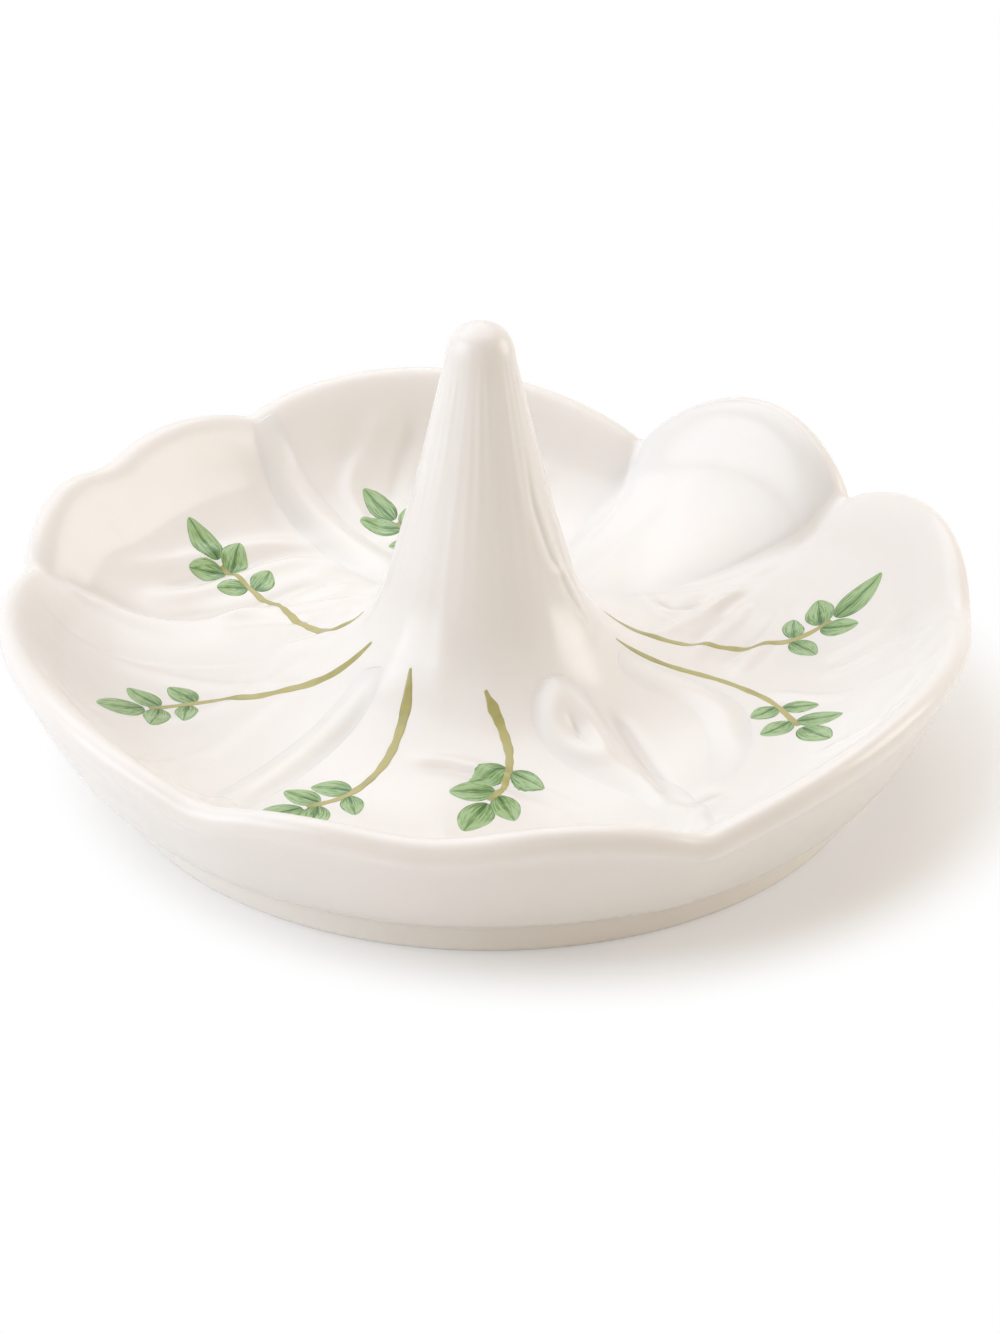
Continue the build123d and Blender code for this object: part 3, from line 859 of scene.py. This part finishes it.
# Stems: rows of radius and azimuth from the cone's foot outward
sprig_rows = (
    ((14.6, -157), (20, -163), (27, -169), (34, -171), (40.5, -169)),
    ((14.8, 170), (20, 163), (27, 150), (35, 143), (43, 141.5)),
    ((14.6, -128), (19, -121), (25, -118.5), (31, -120.5), (35.5, -125)),
    ((14.8, -92), (18, -86), (21.5, -84), (25.5, -86), (28.5, -90)),
    ((14.6, -3), (20, 0), (27, -1.5), (33, -8.5), (37.5, -18)),
    ((14.6, 24), (21, 19), (29, 15.5), (37, 14.5), (43, 16)),
    ((14.8, 92), (20, 95), (27, 98), (34, 102), (41.5, 107)),
)


def painted_stroke(x, y, width):
    """Closed flat stroke along a plan curve, as rings over its top and back under it. The top stands
    paint_proud over the skin, falls with the sixth power of the way across to a dip at the edges, and evenly
    over the last steps at the ends."""
    edge_dip, underside_depth, round_ends = 0.03, 0.1, 0.5
    across = np.linspace(-1, 1, paint_across)[None, :]
    px, py = sideways(x, y, across, width)
    skin = face_at(px, py)
    step = np.arange(len(x))
    ends = np.minimum(1, round_ends * np.minimum(step, step[::-1]))[:, None]
    top = skin - edge_dip + (paint_proud + edge_dip) * (1 - np.abs(across) ** 6) * ends
    return wrapped(px, py, top, skin - underside_depth)


def paint_marks(along, across, kind):
    """Values of the stroke attribute on a stroke's rings: the way along, the way across and the kind."""
    both_sides = np.broadcast_to(across, paint_across)
    both_sides = np.concatenate([both_sides, both_sides[::-1]])
    return np.stack(np.broadcast_arrays(along[:, None], both_sides[None, :], kind), axis=2).reshape(-1, 3)


# Leaflets: how far back from the twig's end each sits, its lean in degrees and its length in mm
leaflets = ((0, 0, 6.4), (1.5, 62, 5.4), (1.9, -58, 5.2), (5.2, 68, 4.6), (5.9, -66, 4.8))
brush = np.random.default_rng(7)
sprigs = []
for number, rows in enumerate(sprig_rows):
    even, (x, y) = evenly(plan(rows), stem_steps)
    share = even / even[-1]
    # The stem thins toward its end, wavers as a brush does, and starts in a point
    width = 0.43 + 0.3 * (1 - share) ** 1.4 + 0.09 * np.sin(share * 17 + number) * np.sin(share * 41 + 2 * number)
    width *= 0.3 + 0.7 * eased(share, 0, 0.14)
    strokes, faces = [painted_stroke(x, y, width)], [pad_quads(stem_steps, paint_across)]
    paint = [paint_marks(share, 0, -1.0)]
    heading = np.arctan2(np.gradient(y), np.gradient(x))
    for back, lean, size in leaflets:
        here = int(round((1 - back / even[-1]) * (stem_steps - 1)))
        length = size * brush.uniform(0.92, 1.08)
        bearing = heading[here] + math.radians(lean + brush.uniform(-8, 8))
        bend = brush.uniform(-0.35, 0.35)
        s = np.linspace(0, 1, leaflet_steps)
        leaflet_x = x[here] + np.cumsum(np.cos(bearing + bend * s)) * length / leaflet_steps
        leaflet_y = y[here] + np.cumsum(np.sin(bearing + bend * s)) * length / leaflet_steps
        # Half its width: a sine over its length, drawn toward the base and made full
        half = 0.05 + length * 0.35 * np.sin(np.pi * s**0.88) ** 0.75 * (1 - 0.12 * s)
        strokes.append(painted_stroke(leaflet_x, leaflet_y, half))
        faces.append(pad_quads(leaflet_steps, paint_across))
        paint.append(paint_marks(s, np.linspace(-1, 1, paint_across), brush.uniform(0, 1)))
    points = [stroke.reshape(-1, 3) for stroke in strokes]
    counts = np.cumsum([0] + [len(p) for p in points])
    quads = np.concatenate([f + c for f, c in zip(faces, counts)])
    sprig = fired(f"painted_sprig_{number + 1}", np.concatenate(points), quads)
    layer = sprig.data.attributes.new("stroke", "FLOAT_VECTOR", "POINT")
    layer.data.foreach_set("vector", np.concatenate(paint).astype(np.float32).ravel())
    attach(sprig, "root")
    sprigs.append(sprig)

# Enamel: the stroke attribute gives the way along the stroke, the way across it and a number for each leaflet,
# negative on stems. Leaflets are darkest along the midrib, at the base and at the edge, with fine brush hairs.
enamel, tree, body = new_material("green_enamel")
body.inputs["Roughness"].default_value = 0.22
stroke = add(tree, "ShaderNodeAttribute", attribute_name="stroke").outputs["Vector"]
along, across, kind = add(tree, "ShaderNodeSeparateXYZ", stroke).outputs
edge = maths(tree, "ABSOLUTE", across)
hairs_at = add(tree, "ShaderNodeVectorMath", stroke, (2.2, 7.0, 13.0), operation="MULTIPLY")
hairs = add(tree, "ShaderNodeTexNoise", hairs_at, Scale=1.6, Detail=3.0, Roughness=0.6)
washed = graded(tree, hairs, 0.35, 0.7, -0.35, 0.55)
base = graded(tree, along, 0.0, 0.55, 0.55, 0.0)
midrib = graded(tree, edge, 0.03, 0.22, 0.55, 0.0)
outline = graded(tree, edge, 0.74, 0.98, 0.0, 0.3)
drawn = maths(tree, "ADD", midrib, outline)
shade = maths(tree, "ADD", drawn, base)
amount = maths(tree, "ADD", shade, washed, clamped=True)
greens = add(tree, "ShaderNodeValToRGB", amount)
greens.color_ramp.elements[0].color = (0.39, 0.55, 0.28, 1)
greens.color_ramp.elements[1].color = (0.042, 0.115, 0.024, 1)
greens.color_ramp.elements.new(0.45).color = (0.175, 0.32, 0.1, 1)
olives = add(tree, "ShaderNodeValToRGB", washed)
olives.color_ramp.elements[0].color = (0.47, 0.43, 0.16, 1)
olives.color_ramp.elements[1].color = (0.19, 0.185, 0.045, 1)
is_stem = maths(tree, "LESS_THAN", kind, -0.5)
feed(tree, body.inputs["Base Color"], blended(tree, is_stem, greens.outputs[0], olives.outputs[0]))
for sprig in sprigs:
    sprig.data.materials.append(enamel)

# ------
# Studio: the dish stands on white paper that fades to pure white behind it. A big soft box hangs over it and
# another stands on the left, a small one on the right lights the sides turned away from them, and a low warm
# card fills the front.
def seen_directly(tree):
    """1 for the rays that show the studio as pure white, from the camera, off gloss or through glass, and 0
    for the light that falls on the dish."""
    rays = add(tree, "ShaderNodeLightPath").outputs
    shiny = maths(tree, "MAXIMUM", rays["Is Glossy Ray"], rays["Is Transmission Ray"])
    return maths(tree, "MAXIMUM", rays["Is Camera Ray"], shiny)


paper_reach = 1.5
corners = [(x * paper_reach, y * paper_reach, 0) for x, y in ((-1, -1), (1, -1), (1, 1), (-1, 1))]
paper = bpy.data.meshes.new("paper")
paper.from_pydata(corners, [], [(0, 1, 2, 3)])
floor = in_scene("paper_floor", paper)
# Near the dish the camera sees the lit paper with its shadow under this share of white. Round this centre
# and between these radii it turns to pure white
least_white, white_centre, white_from, white_at = 0.25, (0.008, 0.006, 0), 0.05, 0.0625
white, tree, _ = new_material("white_paper")
tree.nodes.clear()
where = add(tree, "ShaderNodeTexCoord").outputs["Object"]
from_middle = add(tree, "ShaderNodeVectorMath", where, white_centre, operation="SUBTRACT")
far = add(tree, "ShaderNodeVectorMath", from_middle, operation="LENGTH").outputs["Value"]
fade = graded(tree, far, white_from, white_at, least_white, 1.0)
fade.interpolation_type = "SMOOTHSTEP"
seen = maths(tree, "MULTIPLY", fade, seen_directly(tree))
matt = add(tree, "ShaderNodeBsdfDiffuse", (0.935, 0.93, 0.925, 1))
glow = add(tree, "ShaderNodeEmission", (1, 1, 1, 1), 1.0)
mixed = add(tree, "ShaderNodeMixShader", seen, matt, glow)
add(tree, "ShaderNodeOutputMaterial", mixed)
paper.materials.append(white)

# The room's own light is warm, dim at the horizon and stronger from above
world = bpy.data.worlds.new("studio_walls")
bpy.context.scene.world = world
world.use_nodes = True
tree = world.node_tree
way_out = add(tree, "ShaderNodeTexCoord").outputs["Generated"]
raised = add(tree, "ShaderNodeVectorMath", way_out, (0.0, 0.05, 1.0), operation="DOT_PRODUCT")
walls = tree.nodes["Background"]
feed(tree, walls.inputs["Color"], (1.0, 0.805, 0.585, 1))
feed(tree, walls.inputs["Strength"], graded(tree, raised.outputs["Value"], 0.0, 0.55, 0.135, 0.51))
bright = add(tree, "ShaderNodeBackground", (1, 1, 1, 1))
room = add(tree, "ShaderNodeMixShader", seen_directly(tree), walls, bright)
feed(tree, tree.nodes["World Output"].inputs[0], room)


def soft_box(name, place, target, size, watts, colour=(1, 1, 1)):
    """Rectangular lamp at a place, turned to face a target."""
    lamp = bpy.data.lights.new(name, "AREA")
    lamp.shape = "RECTANGLE"
    lamp.size, lamp.size_y = size
    lamp.energy = watts
    lamp.color = colour
    holder = in_scene(name, lamp)
    gaze = np.asarray(target, float) - np.asarray(place, float)
    gaze /= np.linalg.norm(gaze)
    holder.location = place
    pitch = math.acos(-gaze[2])
    holder.rotation_euler = (pitch, 0, math.atan2(gaze[1], gaze[0]) - math.pi / 2)


soft_box("overhead_soft_box", (-0.12, 0.32, 0.8), (0, 0, 0.01), (1.1, 0.9), 5.0, (0.786, 0.872, 1.0))
soft_box("left_soft_box", (-0.66, -0.22, 0.33), (0, 0, 0.02), (0.7, 0.5), 2.99, (0.786, 0.872, 1.0))
soft_box("right_soft_box", (0.62, 0.08, 0.22), (0, 0, 0.02), (0.35, 0.4), 1.38)
soft_box("front_card", (-0.1, -0.75, 0.07), (0, 0, 0.01), (0.8, 0.14), 0.27, (1.0, 0.86, 0.72))

# Camera: it looks at the foot's centre from this distance and tilt, and is then moved aside and up in the
# plane of its picture
camera_distance, moved_aside, moved_up = 0.4175, 0.0012, 0.0098
tilt = math.radians(28.5)
lens = bpy.data.cameras.new("photograph")
lens.sensor_width = 36.0
lens.lens = 94.52
camera = in_scene("photograph", lens)
camera.location = (
    moved_aside,
    -camera_distance * math.cos(tilt) + moved_up * math.sin(tilt),
    camera_distance * math.sin(tilt) + moved_up * math.cos(tilt),
)
camera.rotation_euler = (math.pi / 2 - tilt, 0, 0)
bpy.context.scene.camera = camera

bpy.context.scene.view_settings.view_transform = "Standard"
